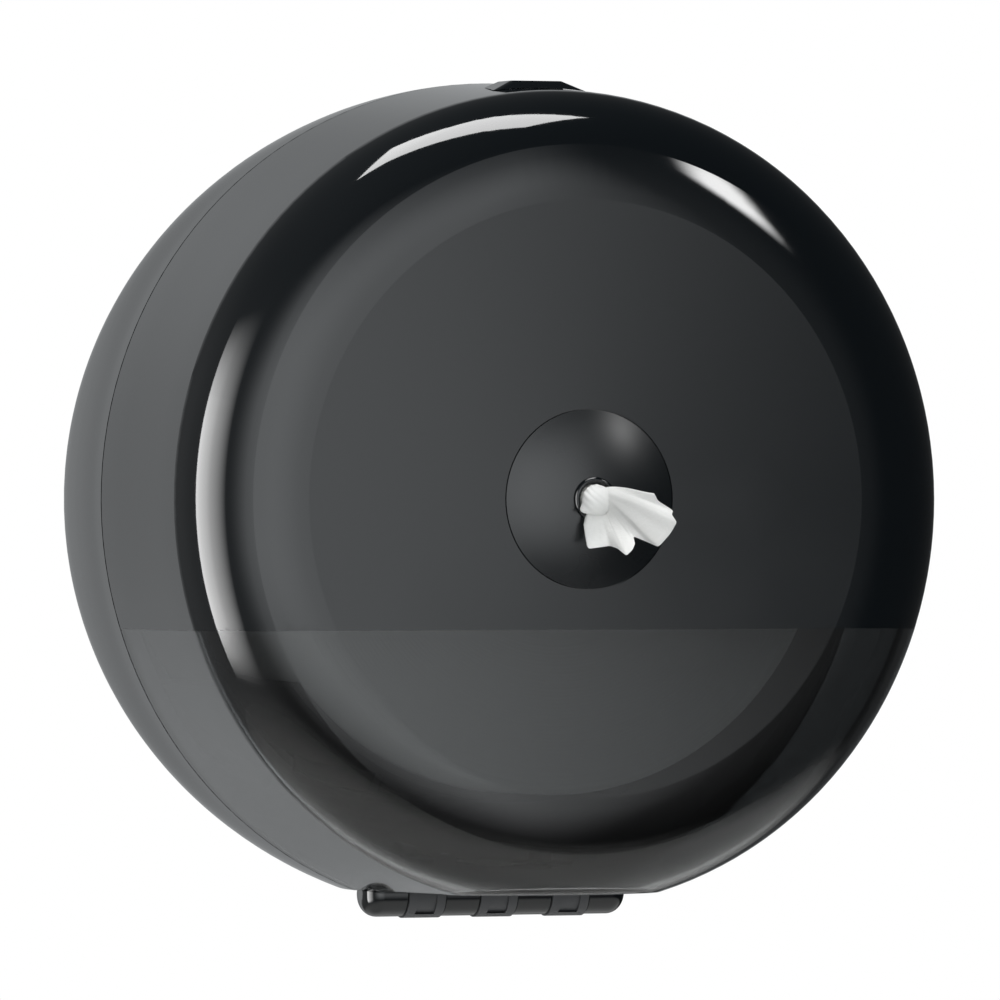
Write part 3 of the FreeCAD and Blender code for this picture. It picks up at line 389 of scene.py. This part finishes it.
def finish_material(tree, shader):
    add(tree, "ShaderNodeOutputMaterial", {"Surface": shader.outputs[0]})


def per_metre(size):
    """Scale of a texture whose features are about size mm across."""
    return 1 / (size * MM)


def mould_ripple(tree, place):
    """The faint waviness of a polished moulding: about 9 mm across and a micrometre high."""
    ripple = add(tree, "ShaderNodeTexNoise", {"Vector": place, "Scale": per_metre(9), "Detail": 1.0})
    return add(
        tree, "ShaderNodeBump", {"Height": ripple.outputs[0], "Distance": 0.0012 * MM, "Strength": 1.0}
    )


def black_abs(name, roughness):
    """ABS from a polished mould: deep black, clear reflections, a faint ripple and some haze."""
    material, tree = new_material(name)
    place = add(tree, "ShaderNodeTexCoord").outputs["Object"]
    bump = mould_ripple(tree, place)
    haze = add(tree, "ShaderNodeTexNoise", {"Vector": place, "Scale": per_metre(40), "Detail": 4.0})
    rough = add(
        tree,
        "ShaderNodeMapRange",
        {"Value": haze.outputs[0], "To Min": 0.7 * roughness, "To Max": 1.3 * roughness},
    )
    shader = add(
        tree,
        "ShaderNodeBsdfPrincipled",
        {
            "Base Color": linear("#070b0e"),
            "IOR": 1.5,
            "Roughness": rough.outputs[0],
            "Normal": bump.outputs[0],
        },
    )
    finish_material(tree, shader)
    return material


def smoked_window():
    """Smoked clear SAN from a polished mould: dark grey see-through with the cover's gloss."""
    material, tree = new_material("smoked_clear_san")
    place = add(tree, "ShaderNodeTexCoord").outputs["Object"]
    bump = mould_ripple(tree, place)
    shader = add(
        tree,
        "ShaderNodeBsdfPrincipled",
        {
            "Base Color": linear("#7a7c7d"),
            "IOR": 1.5,
            "Roughness": 0.03,
            "Transmission Weight": 1.0,
            "Normal": bump.outputs[0],
        },
    )
    finish_material(tree, shader)
    return material


def moulded_plastic(name, colour, roughness, grain):
    """Polypropylene from an etched mould: matte, with a fine even grain."""
    material, tree = new_material(name)
    place = add(tree, "ShaderNodeTexCoord").outputs["Object"]
    etch = add(tree, "ShaderNodeTexNoise", {"Vector": place, "Scale": per_metre(grain), "Detail": 3.0})
    bump = add(
        tree, "ShaderNodeBump", {"Height": etch.outputs[0], "Distance": 0.05 * MM, "Strength": 0.6}
    )
    worn = add(tree, "ShaderNodeTexNoise", {"Vector": place, "Scale": per_metre(12), "Detail": 3.0})
    rough = add(
        tree,
        "ShaderNodeMapRange",
        {"Value": worn.outputs[0], "To Min": roughness - 0.07, "To Max": roughness + 0.07},
    )
    shader = add(
        tree,
        "ShaderNodeBsdfPrincipled",
        {
            "Base Color": linear(colour),
            "IOR": 1.49,
            "Roughness": rough.outputs[0],
            "Normal": bump.outputs[0],
        },
    )
    finish_material(tree, shader)
    return material


def zinc_plated_steel():
    """Turned and zinc-plated steel: bright bluish grey with a clouded sheen."""
    material, tree = new_material("zinc_plated_steel")
    place = add(tree, "ShaderNodeTexCoord").outputs["Object"]
    cloud = add(tree, "ShaderNodeTexNoise", {"Vector": place, "Scale": per_metre(3), "Detail": 4.0})
    rough = add(tree, "ShaderNodeMapRange", {"Value": cloud.outputs[0], "To Min": 0.22, "To Max": 0.4})
    shade = add(
        tree,
        "ShaderNodeMix",
        {
            "Factor": cloud.outputs[0],
            "A": linear("#b9bcc0"),
            "B": linear("#d2d3d2"),
        },
        data_type="RGBA",
    )
    shader = add(
        tree,
        "ShaderNodeBsdfPrincipled",
        {"Base Color": shade.outputs["Result"], "Metallic": 1.0, "Roughness": rough.outputs[0]},
    )
    finish_material(tree, shader)
    return material


def tissue_paper():
    """Creped tissue: soft white, matte, lets some light through, with fine creases."""
    material, tree = new_material("creped_tissue")
    place = add(tree, "ShaderNodeTexCoord").outputs["Object"]
    crepe = add(tree, "ShaderNodeTexNoise", {"Vector": place, "Scale": per_metre(0.9), "Detail": 5.0})
    bump = add(
        tree, "ShaderNodeBump", {"Height": crepe.outputs[0], "Distance": 0.12 * MM, "Strength": 0.6}
    )
    sheet = add(
        tree,
        "ShaderNodeBsdfPrincipled",
        {
            "Base Color": linear("#f8f8f6"),
            "IOR": 1.4,
            "Roughness": 0.95,
            "Specular IOR Level": 0.2,
            "Normal": bump.outputs[0],
        },
    )
    through = add(
        tree, "ShaderNodeBsdfTranslucent", {"Color": linear("#f8f8f6"), "Normal": bump.outputs[0]}
    )
    shader = add(tree, "ShaderNodeMixShader", {0: 0.35, 1: sheet.outputs[0], 2: through.outputs[0]})
    finish_material(tree, shader)
    return material


def wound_tissue():
    """The roll: soft white, with the turns' edges as rings on its ends."""
    material, tree = new_material("wound_tissue")
    place = add(tree, "ShaderNodeTexCoord").outputs["Object"]
    parts = add(tree, "ShaderNodeSeparateXYZ", {"Vector": place})
    flat = add(tree, "ShaderNodeCombineXYZ", {"X": parts.outputs["X"], "Y": parts.outputs["Z"]})
    rings = add(
        tree,
        "ShaderNodeTexWave",
        {
            "Vector": flat.outputs[0],
            "Scale": per_metre(RING_STEP) * WAVE_SCALE,
            "Distortion": 0.6,
            "Detail": 2.0,
        },
        wave_type="RINGS",
        rings_direction="Z",
    )
    bump = add(
        tree, "ShaderNodeBump", {"Height": rings.outputs[0], "Distance": 0.1 * MM, "Strength": 0.5}
    )
    shade = add(
        tree,
        "ShaderNodeMix",
        {"Factor": rings.outputs[0], "A": linear("#e9e9e6"), "B": linear("#f1f1ee")},
        data_type="RGBA",
    )
    shader = add(
        tree,
        "ShaderNodeBsdfPrincipled",
        {"Base Color": shade.outputs["Result"], "Roughness": 0.95, "Normal": bump.outputs[0]},
    )
    finish_material(tree, shader)
    return material


def dress(piece, material):
    piece.data.materials.clear()
    piece.data.materials.append(material)


# Studio


def studio_direction(azimuth, elevation):
    """Unit vector to a place in the studio: azimuth from the front to the right, in degrees."""
    azimuth = math.radians(azimuth)
    elevation = math.radians(elevation)
    return Vector(
        (
            math.sin(azimuth) * math.cos(elevation),
            -math.cos(azimuth) * math.cos(elevation),
            math.sin(elevation),
        )
    )


def rise(tree, value, start, end):
    """A soft edge that rises from 0 at start to 1 at end."""
    return add(
        tree,
        "ShaderNodeMapRange",
        {"Value": value, "From Min": start, "From Max": end},
        interpolation_type="SMOOTHSTEP",
    ).outputs[0]


def product(tree, *values):
    result = values[0]
    for value in values[1:]:
        result = add(tree, "ShaderNodeMath", {0: result, 1: value}, operation="MULTIPLY").outputs[0]
    return result


def total(tree, *values):
    result = values[0]
    for value in values[1:]:
        result = add(tree, "ShaderNodeMath", {0: result, 1: value}, operation="ADD").outputs[0]
    return result


def studio_surroundings():
    """A white background, and in reflections a wide soft light in front and darker sides."""
    world = bpy.data.worlds.new("studio")
    bpy.context.scene.world = world
    world.use_nodes = True
    tree = world.node_tree
    tree.nodes.clear()
    way = add(tree, "ShaderNodeTexCoord").outputs["Generated"]
    parts = add(tree, "ShaderNodeSeparateXYZ", {"Vector": way})
    forward = product(tree, parts.outputs["Y"], -1.0)
    turn = add(tree, "ShaderNodeMath", {0: parts.outputs["X"], 1: forward}, operation="ARCTAN2")
    azimuth = add(tree, "ShaderNodeMath", {0: turn.outputs[0]}, operation="DEGREES").outputs[0]
    lift = add(tree, "ShaderNodeMath", {0: parts.outputs["Z"]}, operation="ARCSINE")
    elevation = add(tree, "ShaderNodeMath", {0: lift.outputs[0]}, operation="DEGREES").outputs[0]
    halo = product(tree, FRONT_HALO, rise(tree, azimuth, *FRONT_HALO_EDGE))
    right_edge = product(tree, 1 - FRONT_HALO, rise(tree, azimuth, *FRONT_RIGHT_EDGE))
    extra = product(tree, FRONT_LEFT_EXTRA, rise(tree, azimuth, *FRONT_EXTRA_EDGE))
    front = product(
        tree,
        total(tree, FRONT_LEVEL, extra),
        total(tree, right_edge, halo),
        rise(tree, azimuth, *FRONT_LEFT_EDGE),
        rise(tree, elevation, *FRONT_LOW_EDGE),
        rise(tree, elevation, *FRONT_TOP_EDGE),
    )
    sideways = parts.outputs["X"]
    side = product(tree, SIDE_LEVEL, rise(tree, sideways, *SIDE_EDGE))
    low = rise(tree, elevation, *LOW_SIDE_TOP_EDGE)
    low_side = product(tree, LOW_SIDE_LEVEL, low, rise(tree, sideways, *LOW_SIDE_EDGE))
    backward = parts.outputs["Y"]
    round_middle = product(tree, 1 - BACK_MIDDLE_LEVEL, rise(tree, backward, *BACK_MIDDLE_EDGE))
    wall = total(tree, BACK_MIDDLE_LEVEL, round_middle)
    leftward = product(tree, 1 - BACK_RIGHT_LEVEL, rise(tree, sideways, *BACK_SIDE_EDGE))
    across = total(tree, BACK_RIGHT_LEVEL, leftward)
    back = product(tree, wall, across, rise(tree, backward, *BACK_EDGE))
    light = total(tree, ROOM_LEVEL, front, side, low_side, back)
    to_eye = add(tree, "ShaderNodeLightPath").outputs["Is Camera Ray"]
    strength = add(tree, "ShaderNodeMix", {"Factor": to_eye, "A": light, "B": 1.0}, data_type="FLOAT")
    colour = add(
        tree, "ShaderNodeMix", {"Factor": to_eye, "A": ROOM_TINT, "B": WHITE}, data_type="RGBA"
    )
    background = add(
        tree,
        "ShaderNodeBackground",
        {"Color": colour.outputs["Result"], "Strength": strength.outputs["Result"]},
    )
    add(tree, "ShaderNodeOutputWorld", {"Surface": background.outputs[0]})


def softbox(name, azimuth, elevation, width, height, brightness, turn=0):
    """A rectangular light, sized in metres at 1 m from the object, that faces it."""
    light = bpy.data.lights.new(name, "AREA")
    light.shape = "RECTANGLE"
    light.size = width * LIGHT_DISTANCE
    light.size_y = height * LIGHT_DISTANCE
    light.energy = brightness * light.size * light.size_y * math.pi
    box = bpy.data.objects.new(name, light)
    bpy.context.scene.collection.objects.link(box)
    way = studio_direction(azimuth, elevation)
    box.location = LIGHT_AIM + way * LIGHT_DISTANCE
    facing = way.to_track_quat("Z", "Y") @ Quaternion((0, 0, 1), math.radians(turn))
    box.rotation_euler = facing.to_euler()
    return box


def start_light(box):
    """Clear a light's nodes; give its tree and the place on its face, from 0 to 1 each way."""
    box.data.use_nodes = True
    tree = box.data.node_tree
    tree.nodes.clear()
    return tree, add(tree, "ShaderNodeNewGeometry").outputs["Parametric"]


def finish_light(tree, strength):
    glow = add(tree, "ShaderNodeEmission", {"Strength": strength})
    add(tree, "ShaderNodeOutputLight", {"Surface": glow.outputs[0]})


def fade_across(box, first, last, low_end, high_end):
    """Let a light change from one share of its brightness to another, and end softly."""
    tree, place = start_light(box)
    parts = add(tree, "ShaderNodeSeparateXYZ", {"Vector": place})
    across = parts.outputs["X"]
    share = add(tree, "ShaderNodeMapRange", {"Value": across, "To Min": first, "To Max": last})
    low = rise(tree, parts.outputs["Y"], 0, low_end)
    high = rise(tree, parts.outputs["Y"], 1, high_end)
    finish_light(tree, product(tree, share.outputs[0], low, high))


def soften(box, rim, middle):
    """Let a light fade from its middle to its rim."""
    tree, place = start_light(box)
    away = add(tree, "ShaderNodeVectorMath", {0: place, 1: (0.5, 0.5, 0.0)}, operation="DISTANCE")
    finish_light(tree, rise(tree, away.outputs["Value"], rim, middle))


def only_mirrored(box):
    """Keep a light out of everything but reflections."""
    box.visible_diffuse = False
    box.visible_transmission = False


def pale_floor():
    """A round pale floor whose rim fades away softly."""
    start_fresh()
    bpy.ops.mesh.primitive_circle_add(
        vertices=FLOOR_CORNERS, radius=FLOOR_RADIUS, fill_type="NGON", location=FLOOR_CENTRE
    )
    floor = bpy.context.object
    floor.name = "floor"
    material, tree = new_material("pale_floor")
    place = add(tree, "ShaderNodeTexCoord").outputs["Object"]
    away = add(tree, "ShaderNodeVectorMath", {0: place}, operation="LENGTH").outputs["Value"]
    paint = add(tree, "ShaderNodeBsdfPrincipled", {"Base Color": linear("#f0f0ee"), "Roughness": 0.8})
    clear = add(tree, "ShaderNodeBsdfTransparent")
    gone = rise(tree, away, FLOOR_RADIUS / 2, FLOOR_RADIUS)
    shader = add(tree, "ShaderNodeMixShader", {0: gone, 1: paint.outputs[0], 2: clear.outputs[0]})
    finish_material(tree, shader)
    dress(floor, material)


def photo_camera():
    yaw = math.radians(CAMERA_YAW_DEG)
    ahead = Vector((math.sin(yaw), math.cos(yaw), 0))
    right = Vector((math.cos(yaw), -math.sin(yaw), 0))
    aim = Vector((0, FACE_Y, -NOZZLE_ABOVE_CENTRE)) - right * NOZZLE_RIGHT_OF_CENTRE
    lens = bpy.data.cameras.new("camera")
    lens.lens = CAMERA_LENS
    lens.sensor_width = CAMERA_SENSOR
    lens.clip_end = 100
    camera = bpy.data.objects.new("camera", lens)
    bpy.context.scene.collection.objects.link(camera)
    camera.location = (aim - ahead * CAMERA_DISTANCE) * MM
    camera.rotation_euler = (math.pi / 2, 0, -yaw)
    bpy.context.scene.camera = camera


# Dress the object
gloss_black = black_abs("gloss_black_abs", 0.05)
satin_black = black_abs("satin_black_abs", 0.27)
window = smoked_window()
grey = moulded_plastic("grey_polypropylene", "#3c3d3f", 0.55, 0.5)
inner = moulded_plastic("black_polypropylene", "#111214", 0.5, 0.6)
steel = zinc_plated_steel()
tissue = tissue_paper()
finishes = {
    "gloss_black": gloss_black,
    "smoked_clear": window,
    "grey_plastic": grey,
    "inner_black": inner,
    "steel": steel,
    "tissue": tissue,
}
for part in frame["record"]["subparts"]:
    dress(nodes[part["node"]], finishes[part["material_slot"]])
dress(nodes["nozzle_dome"], satin_black)  # its reflections are softer than the cover's

roll = wound_roll()
dress(roll, wound_tissue())
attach(roll, "housing")
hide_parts("paper_roll")

tail = tissue_tail()
dress(tail, tissue)
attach(tail, "cover")
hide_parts("paper_tail")

# Studio and camera
studio_surroundings()
left = softbox("left_softbox", **LEFT_LIGHT)
fade_across(left, **LEFT_FADE)
only_mirrored(left)
softbox("top_softbox", **TOP_LIGHT, turn=TOP_LIGHT_TURN)
right = softbox("right_softbox", **RIGHT_LIGHT)
soften(right, *RIGHT_LIGHT_FADE)
only_mirrored(right)
key = softbox("key_softbox", **KEY_LIGHT)
key.visible_glossy = False
pale_floor()
photo_camera()
bpy.context.scene.view_settings.view_transform = "Standard"
